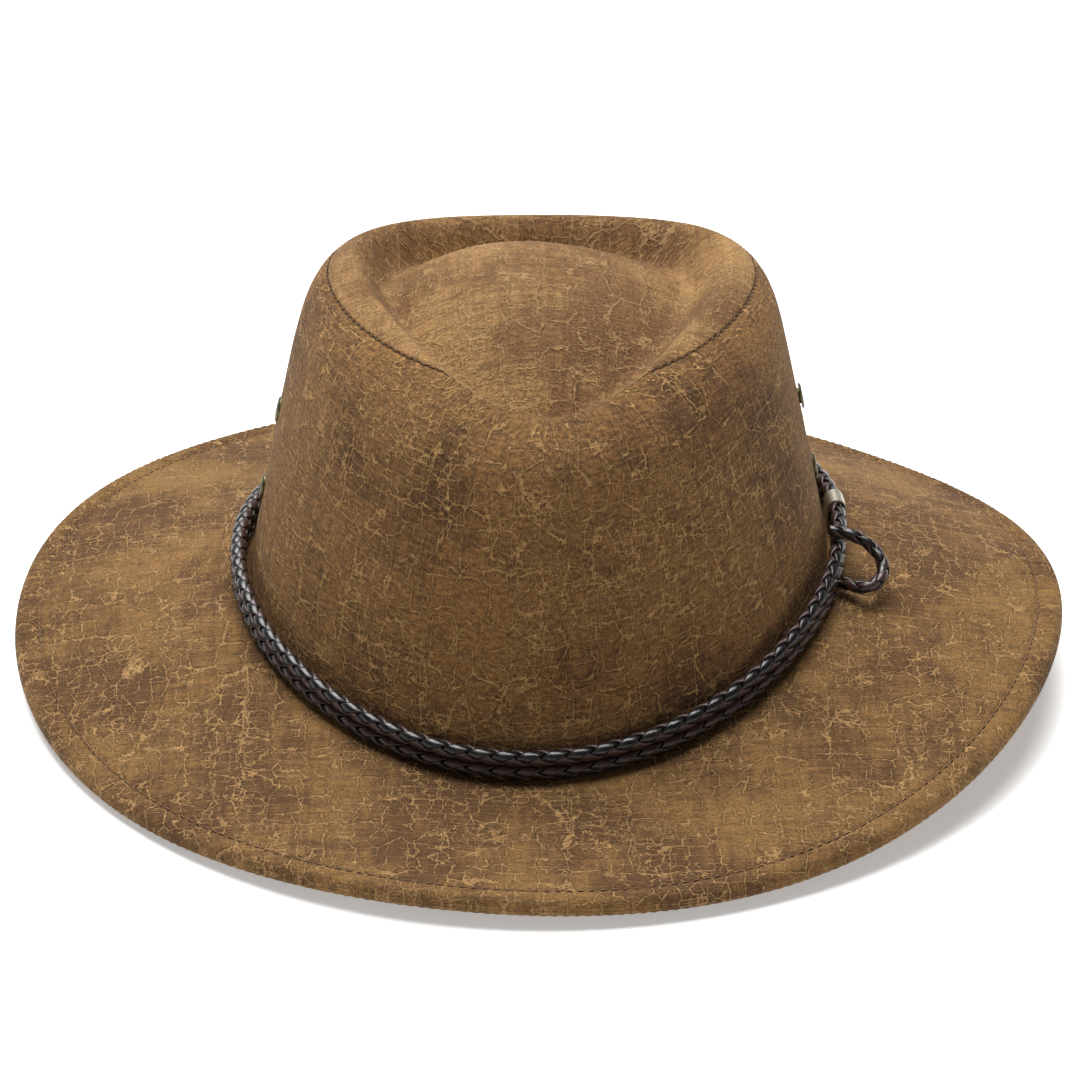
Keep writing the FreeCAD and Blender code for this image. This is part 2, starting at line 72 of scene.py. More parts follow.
def add(tree, kind, inputs=None, **settings):
    """Add a node, set its settings, and give its inputs values, links or whole nodes."""
    node = tree.nodes.new(kind)
    for name, value in settings.items():
        setattr(node, name, value)
    for name, value in (inputs or {}).items():
        if isinstance(name, int):
            socket = node.inputs[name]
        else:
            socket = next(s for s in node.inputs if s.name == name and s.enabled)
        if isinstance(value, bpy.types.Node):
            value = next(s for s in value.outputs if s.enabled)
        if isinstance(value, bpy.types.NodeSocket):
            tree.links.new(value, socket)
        else:
            socket.default_value = value
    return node


def new_material(name, **fixed):
    """Material with one Principled shader, its uniform values set on the shader."""
    material = bpy.data.materials.new(name)
    material.use_nodes = True
    tree = material.node_tree
    shader = next(n for n in tree.nodes if n.type == "BSDF_PRINCIPLED")
    for socket, value in fixed.items():
        shader.inputs[socket.replace("_", " ")].default_value = value
    return material, tree, shader


def finish_material(tree, shader, colour, roughness=None, height=None, distance=0.1 * MM, strength=1.0):
    """Join colour, roughness and height to the shader."""
    joins = [("Base Color", colour)]
    if roughness is not None:
        joins.append(("Roughness", roughness))
    if height is not None:
        joins.append(("Normal", add(tree, "ShaderNodeBump", {
            "Height": height, "Distance": distance, "Strength": strength})))
    for name, node in joins:
        tree.links.new(next(s for s in node.outputs if s.enabled), shader.inputs[name])


def give(node_names, material):
    """Put a material on CAD pieces."""
    for name in node_names:
        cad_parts[name].data.materials.clear()
        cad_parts[name].data.materials.append(material)


# Needle-felted polyester board: matt and off-white, with short crossed fibres.
felt, tree, shader = new_material("felted_interlining", Roughness=0.95, IOR=1.45)
place = add(tree, "ShaderNodeTexCoord").outputs["Object"]
fibres = add(tree, "ShaderNodeTexNoise", {"Vector": place, "Scale": 900.0, "Detail": 4.0})
tint = add(tree, "ShaderNodeMix", {"Factor": fibres, "A": linear("b8b2a2"), "B": linear("e2dccd")},
           data_type="RGBA")
finish_material(tree, shader, tint, height=fibres, distance=0.2 * MM, strength=0.5)
give(["brim_core"], felt)

# Drawn spring steel: bright grey with fine lines along the wire.
wire_steel, tree, shader = new_material("drawn_spring_steel", Metallic=1.0)
place = add(tree, "ShaderNodeTexCoord").outputs["Object"]
lines = add(tree, "ShaderNodeTexNoise", {"Vector": place, "Scale": 2500.0, "Detail": 2.0})
tint = add(tree, "ShaderNodeMix", {"Factor": lines, "A": linear("8b8b88"), "B": linear("b7b6b1")},
           data_type="RGBA")
rough = add(tree, "ShaderNodeMapRange", {"Value": lines, "To Min": 0.25, "To Max": 0.45})
finish_material(tree, shader, tint, rough, lines, 0.02 * MM)
give(["brim_wire"], wire_steel)

# Drawn brass tube, a little dulled by handling.
tube_brass, tree, shader = new_material("drawn_brass", Metallic=1.0)
place = add(tree, "ShaderNodeTexCoord").outputs["Object"]
dulling = add(tree, "ShaderNodeTexNoise", {"Vector": place, "Scale": 600.0, "Detail": 3.0})
tint = add(tree, "ShaderNodeMix", {"Factor": dulling, "A": linear("9a7a3e"), "B": linear("c9a862")},
           data_type="RGBA")
rough = add(tree, "ShaderNodeMapRange", {"Value": dulling, "To Min": 0.25, "To Max": 0.5})
finish_material(tree, shader, tint, rough, dulling, 0.02 * MM)
give(["wire_joiner"], tube_brass)

# ---------------------------------------------------------------- brim panels
# Two layers of faux suede, polyester suede with a worn printed finish. They are sewn edge to
# edge round the wire, turned, and top-stitched inside the wire channel.
brim_low, brim_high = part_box("brim_top_panel")
BRIM_HALF_WIDTH = (brim_high.x - brim_low.x) / 2
BRIM_HALF_LENGTH = (brim_high.y - brim_low.y) / 2
FOOT_HALF_WIDTH = 87.0 * MM
FOOT_HALF_LENGTH = 105.5 * MM
CROWN_BACK = 1.5 * MM                       # crown centre behind the brim centre
MARGIN = 3.4 * MM                           # brim reaches this far inside the foot
ROLL = 2.7 * MM                             # radius of the rolled edge
PANEL = 1.0 * MM
HALF_CORE = 0.9 * MM                        # core and glue line, half
GLUE_LINE = 0.2 * MM
FLAT = HALF_CORE + PANEL                    # outside of a panel above the brim's middle surface
STITCH_INSET = 7.6 * MM                     # edge to the stitch line
FALL = 1.25                                 # over 1, the brim is steeper near the crown
BACK = math.pi / 2                          # the cloth pieces begin and end at the back


def edge_height(turn):
    """Middle of the rolled edge: a bent saddle with slack waves."""
    height = 7.7 + 2.9 * np.cos(turn) - 1.5 * np.sin(turn)
    height += 5.2 * np.cos(2 * turn) - 2.5 * np.sin(2 * turn) + 1.6 * np.cos(3 * turn)
    return (height + 1.6 * (np.cos(4 * turn) - np.sin(4 * turn))) * MM


def join_height(turn):
    """Foot of the crown on the brim."""
    height = 20.3 + 4.6 * np.cos(turn) + 3.1 * np.sin(turn) + 8.4 * np.cos(2 * turn)
    return height * MM


def points(x, y, z):
    """Broadcast coordinates to one array of points."""
    return np.stack(np.broadcast_arrays(x, y, z), axis=-1)


def foot_oval(turn, inset, height):
    """Oval at the foot of the crown, moved in by inset."""
    return points((FOOT_HALF_WIDTH - inset) * np.cos(turn),
                  (FOOT_HALF_LENGTH - inset) * np.sin(turn) + CROWN_BACK, height)


def brim_point(turn, inset, above):
    """Brim point at inset from the edge and above the brim's middle surface."""
    inner = foot_oval(turn, MARGIN, 0 * turn)
    edge = points(BRIM_HALF_WIDTH * np.cos(turn), BRIM_HALF_LENGTH * np.sin(turn), 0 * turn)
    width = np.linalg.norm(edge - inner, axis=-1)
    part = inset / width
    spot = edge + (inner - edge) * part[..., None]
    level = join_height(turn) - FLAT - GLUE_LINE
    spot[..., 2] = level - np.maximum(1 - part, 0) ** FALL * (level - edge_height(turn)) + above
    return spot


def roughen(spots, size, depth, seed):
    """Slow uneven lift of a cloth surface from solid noise, with waves of one size and depth."""
    flat = spots.reshape(-1, 3) / size
    lift = [noise.noise(Vector(p) + Vector((seed, 2 * seed, 0))) for p in flat]
    return np.array(lift).reshape(spots.shape[:-1]) * depth


def uneven(spots, waves):
    """Lift of a cloth surface from waves given as size and depth in mm, and a seed."""
    return sum(roughen(spots, size * MM, depth * MM, seed) for size, depth, seed in waves)


def unit(arrows):
    """Arrows of length one."""
    return arrows / np.linalg.norm(arrows, axis=-1, keepdims=True)


def skin_mesh(name, rows, uv_rows, material):
    """Mesh through rows of points that close round the hat, with UVs in metres.

    Where the last row is the first one again, the sheet closes on itself.
    """
    count, around = len(rows), len(rows[0])
    index = np.arange(count * around).reshape(count, around)
    if rows[-1] is rows[0]:
        index[-1] = index[0]
        verts = np.concatenate(rows[:-1])
    else:
        verts = np.concatenate(rows)
    nearby = np.roll(index, -1, axis=1)
    quads = np.stack([index[:-1], nearby[:-1], nearby[1:], index[1:]], axis=-1).reshape(-1, 4)
    mesh = bpy.data.meshes.new(name)
    mesh.from_pydata(verts.tolist(), [], quads.tolist())
    layer = mesh.uv_layers.new(name="cloth")
    uv = np.array(uv_rows)                              # rows, around + 1, 2
    along = np.arange(around)
    corners = np.stack([uv[:-1][:, along], uv[:-1][:, along + 1],
                        uv[1:][:, along + 1], uv[1:][:, along]], axis=2)
    layer.data.foreach_set("uv", corners.reshape(-1).astype(np.float32))
    mesh.polygons.foreach_set("use_smooth", np.ones(len(quads), bool))
    mesh.materials.append(material)
    mesh.update()
    piece = bpy.data.objects.new(name, mesh)
    bpy.context.scene.collection.objects.link(piece)
    return piece


def distressed_suede(name, plate, crazing, worn, wrinkle, tones):
    """Polyester suede with a printed finish, crazed by tumbling.

    The eye sees a soft tan nap, umber patches where the finish has rubbed smooth, and a net of
    fine raised tan cracks with painted shadow beside them, and painted shade in the hollows of the
    fine creases. plate is the mean size of the cracked plates in mm, crazing how plain the cracks
    are and how dark their painted shadow, worn adds to the umber, wrinkle is the depth of the fine
    creases and how dark their painted shade, and tones run from deep umber to crack.
    """
    material, tree, shader = new_material(
        name, Roughness=0.86, IOR=1.45, Specular_IOR_Level=0.25,
        Sheen_Weight=0.03, Sheen_Roughness=0.45, Sheen_Tint=linear("d8bb90"))
    cloth = add(tree, "ShaderNodeUVMap", uv_map="cloth")
    mm = add(tree, "ShaderNodeVectorMath", {0: cloth, "Scale": 1000.0}, operation="SCALE")

    # Noises over the cloth, in waves per mm: scale, detail, roughness and stretch.
    fields = {}
    for field, scale, detail, rough, stretch in (
            ("bend", 0.13, 3.0, 0.5, (1, 1, 1)), ("wobble", 0.9, 2.0, 0.6, (1, 1, 1)),
            ("nap", 2.4, 3.0, 0.7, (1, 1, 1)), ("grain", 1.1, 4.0, 0.7, (1, 1, 1)),
            ("crease", 0.75, 3.0, 0.6, (0.5, 1.3, 1)), ("patch", 0.02, 5.0, 0.62, (1, 1, 1)),
            ("across", 0.05, 4.0, 0.7, (1, 9, 1)), ("down", 0.05, 4.0, 0.7, (9, 1, 1)),
            ("crazed", 0.03, 3.0, 0.55, (1, 1, 1)), ("broken", 0.16, 3.0, 0.6, (1, 1, 1))):
        laid = add(tree, "ShaderNodeMapping", {"Vector": mm, "Scale": stretch})
        fields[field] = add(tree, "ShaderNodeTexNoise", {"Vector": laid, "Scale": scale,
                                                         "Detail": detail, "Roughness": rough})
    moved = mm
    for field, reach in (("bend", 0.5 * plate), ("wobble", 1.4)):
        centred = add(tree, "ShaderNodeVectorMath", {0: fields[field].outputs["Color"],
                                                     1: (0.5, 0.5, 0.5)}, operation="SUBTRACT")
        pushed = add(tree, "ShaderNodeVectorMath", {0: centred, "Scale": reach}, operation="SCALE")
        moved = add(tree, "ShaderNodeVectorMath", {0: moved, 1: pushed}, operation="ADD")

    # Cracks: three sizes of plate, most of them wider than high, each size in its own patches.
    # Each has its line width and plate shape, and the noise and levels that say where it shows.
    cracks = shadows = 0.0
    for size, line, shape, field, low, high in (
            (plate, 0.041, (0.72, 1.3, 1.0), "crazed", 0.31, 0.41),
            (plate * 0.5, 0.062, (0.85, 1.2, 1.0), "crazed", 0.46, 0.54),
            (plate * 1.7, 0.027, (1.1, 0.8, 1.0), "broken", 0.38, 0.50)):
        laid = add(tree, "ShaderNodeMapping", {"Vector": moved, "Scale": shape})
        net = add(tree, "ShaderNodeTexVoronoi", {"Vector": laid, "Scale": 1.0 / size,
                                                 "Randomness": 0.5}, feature="DISTANCE_TO_EDGE")
        ridge = add(tree, "ShaderNodeMapRange", {"Value": net, "From Min": line * 0.25,
                                                 "From Max": line, "To Min": 1.0, "To Max": 0.0},
                    interpolation_type="SMOOTHSTEP")
        where = add(tree, "ShaderNodeMapRange", {"Value": fields[field], "From Min": low,
                                                 "From Max": high}, interpolation_type="SMOOTHSTEP")
        shown = add(tree, "ShaderNodeMath", {0: ridge, 1: where}, operation="MULTIPLY")
        cracks = add(tree, "ShaderNodeMath", {0: cracks, 1: shown}, operation="MAXIMUM")
        # A band just outside each crack line: painted shadow of the raised crack, to darken the colour.
        crack_shade_band = add(tree, "ShaderNodeMapRange", {"Value": net, "From Min": line,
                                                "From Max": 2.6 * line, "To Min": 1.0, "To Max": 0.0})
        shown = add(tree, "ShaderNodeMath", {0: crack_shade_band, 1: where}, operation="MULTIPLY")
        shadows = add(tree, "ShaderNodeMath", {0: shadows, 1: shown}, operation="MAXIMUM")
    gaps = add(tree, "ShaderNodeMapRange", {"Value": fields["broken"], "From Min": 0.38,
                                            "From Max": 0.5, "To Min": 0.35})
    cracks = add(tree, "ShaderNodeMath", {0: cracks, 1: gaps}, operation="MULTIPLY")

    # Colour: umber patches with streaked edges over a mottled tan, darkened in a band beside each crack as
    # painted shadow, then the pale cracks.
    streaks = add(tree, "ShaderNodeMath", {0: fields["across"], 1: fields["down"]}, operation="ADD")
    streaks = add(tree, "ShaderNodeMath", {0: streaks, 1: 0.6}, operation="MULTIPLY")
    patches = add(tree, "ShaderNodeMath", {0: fields["patch"], 1: 1.6}, operation="MULTIPLY")
    patches = add(tree, "ShaderNodeMath", {0: patches, 1: streaks}, operation="ADD")
    wear = add(tree, "ShaderNodeMapRange", {"Value": patches, "From Min": 1.66 - worn,
                                            "From Max": 1.24 - worn}, interpolation_type="SMOOTHSTEP")
    mottle = add(tree, "ShaderNodeMapRange", {"Value": fields["grain"], "From Min": 0.33,
                                              "From Max": 0.67})
    tan = add(tree, "ShaderNodeMix", {"Factor": mottle, "A": linear(tones[2]),
                                      "B": linear(tones[3])}, data_type="RGBA")
    umber = add(tree, "ShaderNodeMix", {"Factor": mottle, "A": linear(tones[0]),
                                        "B": linear(tones[1])}, data_type="RGBA")
    colour = add(tree, "ShaderNodeMix", {"Factor": wear, "A": tan, "B": umber}, data_type="RGBA")
    # Painted shadow: the colour is darkened in the bands beside the cracks.
    painted_crack_shade = add(tree, "ShaderNodeMath", {0: shadows, 1: -0.42 * crazing, 2: 1.0},
                operation="MULTIPLY_ADD")
    colour = add(tree, "ShaderNodeVectorMath", {0: colour, "Scale": painted_crack_shade}, operation="SCALE")
    pale = add(tree, "ShaderNodeMath", {0: cracks, 1: crazing}, operation="MULTIPLY")
    colour = add(tree, "ShaderNodeMix", {"Factor": pale, "A": colour, "B": linear(tones[4])},
                 data_type="RGBA")
    # The nap varies the tone at random. The creases darken the colour in their hollows, a painted shade.
    for field, low, high in (("nap", 0.82, 1.2),
                             ("crease", 1 - 0.5 * wrinkle, 1 + 0.3 * wrinkle)):
        nap_tone_and_crease_shade = add(tree, "ShaderNodeMapRange", {"Value": fields[field], "From Min": 0.33,
                                                  "From Max": 0.67, "To Min": low, "To Max": high})
        colour = add(tree, "ShaderNodeVectorMath", {0: colour, "Scale": nap_tone_and_crease_shade}, operation="SCALE")

    # Height: cracks stand proud, and fine creases and the nap roughen the rest.
    height = add(tree, "ShaderNodeMath", {0: fields["crease"], 1: 2.2 * wrinkle},
                 operation="MULTIPLY")
    for field, part in ((cracks, 0.8), (fields["nap"], 0.25), (fields["grain"], 0.9)):
        share = add(tree, "ShaderNodeMath", {0: field, 1: part}, operation="MULTIPLY")
        height = add(tree, "ShaderNodeMath", {0: height, 1: share}, operation="ADD")
    finish_material(tree, shader, colour, height=height, distance=0.4 * MM, strength=1.0)
    return material


# The brim's tones are made a little darker than its cloth, a painted shade, because the brim faces the
# overhead light.
brim_suede = distressed_suede(
    "tumbled_faux_suede_brim", plate=6.0, crazing=0.92, worn=0.02, wrinkle=0.25,
    tones=("422a16", "624529", "664927", "936f40", "a17d50"))

AROUND = 1200                               # mesh points round the brim, just under 1 mm apart
PUCKERS = 326                               # one pull of cloth at each stitch of the edge
PUCKER_DEPTH = 0.15 * MM
FLAT_ROWS = 40
FLAT_END = STITCH_INSET + 1.6 * MM          # from here to the edge the cloth is shaped by the wire
BRIM_WAVES = ((26, 0.4, 1), (7, 0.12, 5))
# How far in from the stitch line, and how high, the cloth lies where the thread pulls it down.
CHANNEL = ((1.0, 0.0), (0.5, -0.15), (0.1, -0.38), (-0.3, -0.38), (-0.7, -0.1), (-1.3, 0.2),
           (-2.2, 0.5), (-3.2, 0.7))
turns = BACK + np.arange(AROUND) * 2 * math.pi / AROUND


def brim_side(upward):
    """Rows and flat cloth places of one panel: over the brim, round the wire, back inside."""
    even = 0 * turns
    edge = points(BRIM_HALF_WIDTH * np.cos(turns), BRIM_HALF_LENGTH * np.sin(turns), 0)
    width = np.linalg.norm(edge - foot_oval(turns, MARGIN, even), axis=-1)
    rows = []
    for share in np.linspace(1, 0, FLAT_ROWS):          # over the brim, to the stitches
        inset = FLAT_END + (width - FLAT_END) * share
        spots = brim_point(turns, inset, 0)
        fade = min(1, share * 6)
        rows.append((inset, FLAT + uneven(spots, BRIM_WAVES) * fade))
    pull = PUCKER_DEPTH * np.cos(PUCKERS * turns) * (1 + roughen(spots, 9 * MM, 1.0, 8))
    for past, lift in CHANNEL:                          # down into the stitches and up again
        rows.append((STITCH_INSET + past * MM + even, FLAT + lift * MM + pull))
    for lean in range(75, -1, -15):                     # round the wire to the edge seam
        across, along = math.cos(math.radians(lean)), math.sin(math.radians(lean))
        rows.append((ROLL - ROLL * across + even, ROLL * along + pull * along))
    rows.append((PANEL + even, even))                   # and back on the inside
    rows.append((STITCH_INSET + even, HALF_CORE + even))
    rows.append((width * 0.98, HALF_CORE + even))
    solid = [brim_point(turns, inset, upward * above) for inset, above in rows]
    solid.append(solid[0])
    places = [row[:, :2] for row in solid[:FLAT_ROWS]]
    outward = unit(edge[:, :2] - places[0])
    for before, row in zip(solid[FLAT_ROWS - 1:], solid[FLAT_ROWS:]):
        places.append(places[-1] + outward * np.linalg.norm(row - before, axis=-1)[:, None])
    places = [np.concatenate([place, place[:1]]) for place in places]
    return (solid, places) if upward > 0 else (solid[::-1], places[::-1])


for node_name, upward in (("brim_top_panel", 1), ("brim_under_panel", -1)):
    piece = skin_mesh(node_name + "_cloth", *brim_side(upward), brim_suede)
    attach(piece, "hat")
    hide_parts(node_name)

# ---------------------------------------------------------------- brim stitching
# A lockstitch of brown polyester thread goes through both panels all round, just inside the
# wire channel. Each stitch sinks at its ends, where the needle went through. The thread is a
# dull brown, a shade darker than the cloth, with the fine ribs of its twist.
STITCH_DEPTH = 0.38 * MM                    # stitches lie this deep in the cloth
thread, tree, shader = new_material("twisted_polyester_thread", Roughness=0.55, IOR=1.5)
place = add(tree, "ShaderNodeTexCoord").outputs["Object"]
twist = add(tree, "ShaderNodeTexNoise", {"Vector": place, "Scale": 4000.0, "Detail": 2.0})
tint = add(tree, "ShaderNodeMix", {"Factor": twist, "A": linear("4d3520"), "B": linear("7a5936")},
           data_type="RGBA")
finish_material(tree, shader, tint, height=twist, distance=0.05 * MM)


def lay_mesh(name, sections, closed, material_of, materials):
    """Tubes from arrays of sections, tube by tube: tubes, stations, sides, xyz."""
    tubes, stations, sides, _ = sections.shape
    index = np.arange(tubes * stations * sides).reshape(tubes, stations, sides)
    if closed:
        first, second = index, np.roll(index, -1, axis=1)
    else:
        first, second = index[:, :-1], index[:, 1:]
    quads = np.stack([first, np.roll(first, -1, axis=2), np.roll(second, -1, axis=2), second],
                     axis=-1)
    slots = np.repeat(material_of, quads.shape[1] * quads.shape[2])
    faces = quads.reshape(-1, 4).tolist()
    mesh = bpy.data.meshes.new(name)
    if not closed:
        ends = [row.tolist() for tube in index for row in (tube[0, ::-1], tube[-1])]
        slots = np.concatenate([slots, np.repeat(material_of, 2)])
        faces += ends
    mesh.from_pydata(sections.reshape(-1, 3).tolist(), [], faces)
    for material in materials:
        mesh.materials.append(material)
    mesh.polygons.foreach_set("material_index", slots.astype(np.int32))
    mesh.polygons.foreach_set("use_smooth", np.ones(len(faces), bool))
    mesh.update()
    piece = bpy.data.objects.new(name, mesh)
    bpy.context.scene.collection.objects.link(piece)
    return piece


def stitch_line(name, line, up, pitch, length, radius):
    """Row of stitches along a line of points, with the way up at each point."""
    run = np.concatenate([[0], np.cumsum(np.linalg.norm(np.diff(line, axis=0), axis=1))])
    count = round(run[-1] / pitch)
    middles = (np.arange(count) + 0.5) * run[-1] / count
    steps = np.linspace(-0.5, 0.5, 6)                   # along one stitch, end to end
    where = middles[:, None] + steps * length
    spots = np.stack([np.interp(where, run, line[:, i]) for i in range(3)], axis=-1)
    rise = unit(np.stack([np.interp(where, run, up[:, i]) for i in range(3)], axis=-1))
    spots = spots + rise * (radius * (1.1 - 7 * steps[:, None] ** 2))       # high in the middle
    along = unit(np.gradient(spots, axis=1))
    side = unit(np.cross(along, rise))
    leans = np.arange(6) * math.pi / 3
    ring = (side[:, :, None] * np.cos(leans)[:, None] + rise[:, :, None] * np.sin(leans)[:, None])
    piece = lay_mesh(name, spots[:, :, None] + ring * radius, False, np.zeros(count), [thread])
    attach(piece, "hat")


closed_turns = np.append(turns, turns[0])
for name, upward in (("brim_stitches_top", 1), ("brim_stitches_under", -1)):
    groove = upward * (FLAT - STITCH_DEPTH)
    line = brim_point(closed_turns, STITCH_INSET - 0.1 * MM + 0 * closed_turns, groove)
    line_up = np.tile([0.0, 0.0, upward], (len(line), 1))
    stitch_line(name, line, line_up, pitch=3.2 * MM, length=2.5 * MM, radius=0.26 * MM)

# ---------------------------------------------------------------- crown side and tip
# The same faux suede, cut as a curved strip and a teardrop. The two are seamed together just
# outside the rim, blocked to the pinched shape while damp, and glued over the stiffener.
CREST_HALF_WIDTH = 54.4                     # rim of the dent, in mm
CREST_SPREAD = 16.6                         # rim wider at the back, narrower at the front
CREST_HALF_LENGTH = 69.5
CREST_HEIGHT = 118.1
CREST_OFFSET = 1.0                          # rim's middle is this far left and back
DOME_HEIGHT = 118.5 * MM
VALLEY_DEPTH = 12.5 * MM
VALLEY_REACH = 0.78
CROWN_CLOTH = 1.2 * MM
SEAM_HEIGHT = 0.95                          # part of the wall
CENTRE_SIDE, CENTRE_BACK = -5.0 * MM, 18.0 * MM     # middle of the dome
FOOT_GAP = 0.002                            # the cloth starts this part of the wall up
TURN_IN = 0.022                             # its edge starts to turn in this near to the seam
SIDE_WAVES = ((30, 0.45, 3), (8, 0.2, 9))
TIP_WAVES = ((30, 0.5, 3), (8, 0.15, 9))
LAST_RING = 1.985                           # station of the last ring round the dome's middle
TIP_CUT = 0.3                               # the tip is cut elsewhere from the printed cloth, in m
BACK_SEAM_DEPTH = 0.5 * MM
BACK_SEAM_HALF_WIDTH = 1.1                  # in mm
MEAN_CROWN_RADIUS = 80                      # in mm
CROWN_GIRTH = 0.56                          # of the cloth's print, in m
CROWN_ROWS = 84
AROUND_CROWN = 720


def crest_point(turn):
    """Rim of the dent."""
    across, along = np.cos(turn), np.sin(turn)
    height = CREST_HEIGHT + 3.6 * along - 11.2 * along ** 2
    return points((CREST_HALF_WIDTH + CREST_SPREAD * along) * across + CREST_OFFSET,
                  CREST_HALF_LENGTH * along + CREST_OFFSET, height) * MM


def dent_height(rim, reach):
    """Height inside the dent: down from the rim to the valley, then up over the dome."""
    floor = rim - VALLEY_DEPTH
    climb = np.sin(math.pi / 2 * np.clip((reach - VALLEY_REACH) / (1 - VALLEY_REACH), 0, 1)) ** 2
    fall = (np.abs(reach) / VALLEY_REACH) ** 2.2
    return np.where(reach > VALLEY_REACH, floor + VALLEY_DEPTH * climb,
                    DOME_HEIGHT - (DOME_HEIGHT - floor) * fall)


def seam_station(turn):
    """Seam between side and tip: at the front it crosses the rim into the dent."""
    return SEAM_HEIGHT + 0.09 * ((1 - np.sin(turn)) / 2) ** 4


def crown_surface(turn, station):
    """Outside of the crown: 0 to 1 climbs the wall, 1 to 2 runs in over the dent."""
    rim = crest_point(turn)
    foot = foot_oval(turn, 0, join_height(turn))
    spread = 1 - 0.5 * station - 0.12 * station ** 2 - 0.38 * np.clip(station, 0, 1) ** 17.8
    wall = rim + (foot - rim) * spread[:, None]
    wall[:, 2] = foot[:, 2] + (rim[:, 2] - foot[:, 2]) * station
    reach = 2 - station
    centre = np.array([CENTRE_SIDE, CENTRE_BACK, 0.0])
    dent = centre + (rim - centre) * reach[:, None]
    dent[:, 2] = sum(dent_height(rim[:, 2], reach + shift) for shift in (-0.03, 0, 0.03)) / 3
    return np.where((station <= 1)[:, None], wall, dent)


def crown_inside(turn, station, depth):
    """Crown point moved in by depth, square to its surface."""
    station = station + 0 * turn
    along = crown_surface(turn + 0.01, station) - crown_surface(turn - 0.01, station)
    upward = crown_surface(turn, station + 0.01) - crown_surface(turn, station - 0.01)
    normal = unit(np.cross(along, upward))
    return crown_surface(turn, station) - normal * (depth + 0 * turn)[:, None]


def cloth_places(rows, girth):
    """Flat places of a strip of cloth: round the hat, and up from its lower edge."""
    around = np.linspace(0, girth, len(rows[0]) + 1)
    steps = [np.linalg.norm(b - a, axis=-1).mean() for a, b in zip(rows, rows[1:])]
    heights = np.concatenate([[0], np.cumsum(steps)])
    return [points(around, height, 0 * around)[:, :2] for height in heights]


def plan_places(rows, shift=0.0):
    """Flat places of a cap of cloth: straight down on its plan."""
    return [np.concatenate([row[:, :2], row[:1, :2]]) + shift for row in rows]


def drawn_in(row):
    """Ring of a cap close round the middle of its last one."""
    return row * 0.02 + row.mean(axis=0) * 0.98


crown_turns = BACK + np.arange(AROUND_CROWN) * 2 * math.pi / AROUND_CROWN
crown_suede = distressed_suede(
    "tumbled_faux_suede_crown", plate=6.5, crazing=1.0, worn=0.15, wrinkle=0.85,
    tones=("3f2614", "644529", "614223", "926c41", "a07b4c"))
tip_suede = distressed_suede(
    "tumbled_faux_suede_tip", plate=7.5, crazing=0.5, worn=0.0, wrinkle=0.45,
    tones=("553821", "7d5b39", "7a5a36", "aa8556", "b28e60"))
seam = seam_station(crown_turns)
# Towards the seam both edges turn in: distance from it, as part of the wall, and depth in mm.
TURNED_EDGE = ((0.016, 0.0), (0.010, 0.04), (0.006, 0.14), (0.003, 0.3), (0.0, 0.6))
# The seam at the back is a narrow groove from the foot to the tip.
from_back = np.minimum(crown_turns - BACK, BACK + 2 * math.pi - crown_turns) * MEAN_CROWN_RADIUS
back_seam = BACK_SEAM_DEPTH * np.exp(-(from_back / BACK_SEAM_HALF_WIDTH) ** 2)

side_rows = []
for share in np.linspace(0, 1, CROWN_ROWS):             # up the outside, to the turned edge
    station = FOOT_GAP + (seam - TURN_IN) * share
    spots = crown_inside(crown_turns, station, 0)
    fade = min(1, (1 - share) * 12)
    side_rows.append(crown_inside(crown_turns, station, back_seam - uneven(spots, SIDE_WAVES) * fade))
for gap, depth in TURNED_EDGE:
    side_rows.append(crown_inside(crown_turns, seam - gap, depth * MM + back_seam))
for share in np.linspace(1, 0, 8):                      # and down the inside
    side_rows.append(crown_inside(crown_turns, FOOT_GAP + (seam - 2 * FOOT_GAP) * share, CROWN_CLOTH))
side_rows.append(side_rows[0])
piece = skin_mesh("crown_side_cloth", side_rows, cloth_places(side_rows, CROWN_GIRTH), crown_suede)
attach(piece, "hat")
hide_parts("crown_side")

# The tip runs out along its inside, turns at the seam, and runs in over the dent.
tip_rows = [crown_inside(crown_turns, seam + 0.006 + share * (1.99 - seam), CROWN_CLOTH)
            for share in np.linspace(0.985, 0, 14)]
for gap, depth in TURNED_EDGE[::-1]:
    tip_rows.append(crown_inside(crown_turns, seam + 0.0005 + gap, depth * MM))
for share in np.linspace(0, 1, CROWN_ROWS) ** 1.15:
    station = seam + TURN_IN + (LAST_RING - seam - TURN_IN) * share
    spots = crown_inside(crown_turns, station, 0)
    fade = min(1, share * 15) * min(1, (1 - share) * 6)
    tip_rows.append(crown_inside(crown_turns, station, -uneven(spots, TIP_WAVES) * fade))
tip_rows = [drawn_in(tip_rows[0]), *tip_rows, drawn_in(tip_rows[-1])]
piece = skin_mesh("crown_tip_cloth", tip_rows, plan_places(tip_rows, TIP_CUT), tip_suede)
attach(piece, "hat")
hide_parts("crown_tip")

# The seam's own thread shows as short dark stitches down in the groove.
closed_crown = np.append(crown_turns, crown_turns[0])
seam_line = crown_inside(closed_crown, seam_station(closed_crown), 0.3 * MM)
seam_up = unit(crown_inside(closed_crown, seam_station(closed_crown), -1 * MM)
               - crown_inside(closed_crown, seam_station(closed_crown), 0))
stitch_line("tip_seam_stitches", seam_line, seam_up,
            pitch=2.8 * MM, length=1.6 * MM, radius=0.2 * MM)

# ---------------------------------------------------------------- crown stiffener
# Under the faux suede lies a moulded shell of the same felted board as in the brim, in a side
# and a tip, glued to the cloth. It gives the crown its shape.
STIFFENER_DEPTH = 1.4 * MM
STIFFENER_THICK = 1.2 * MM


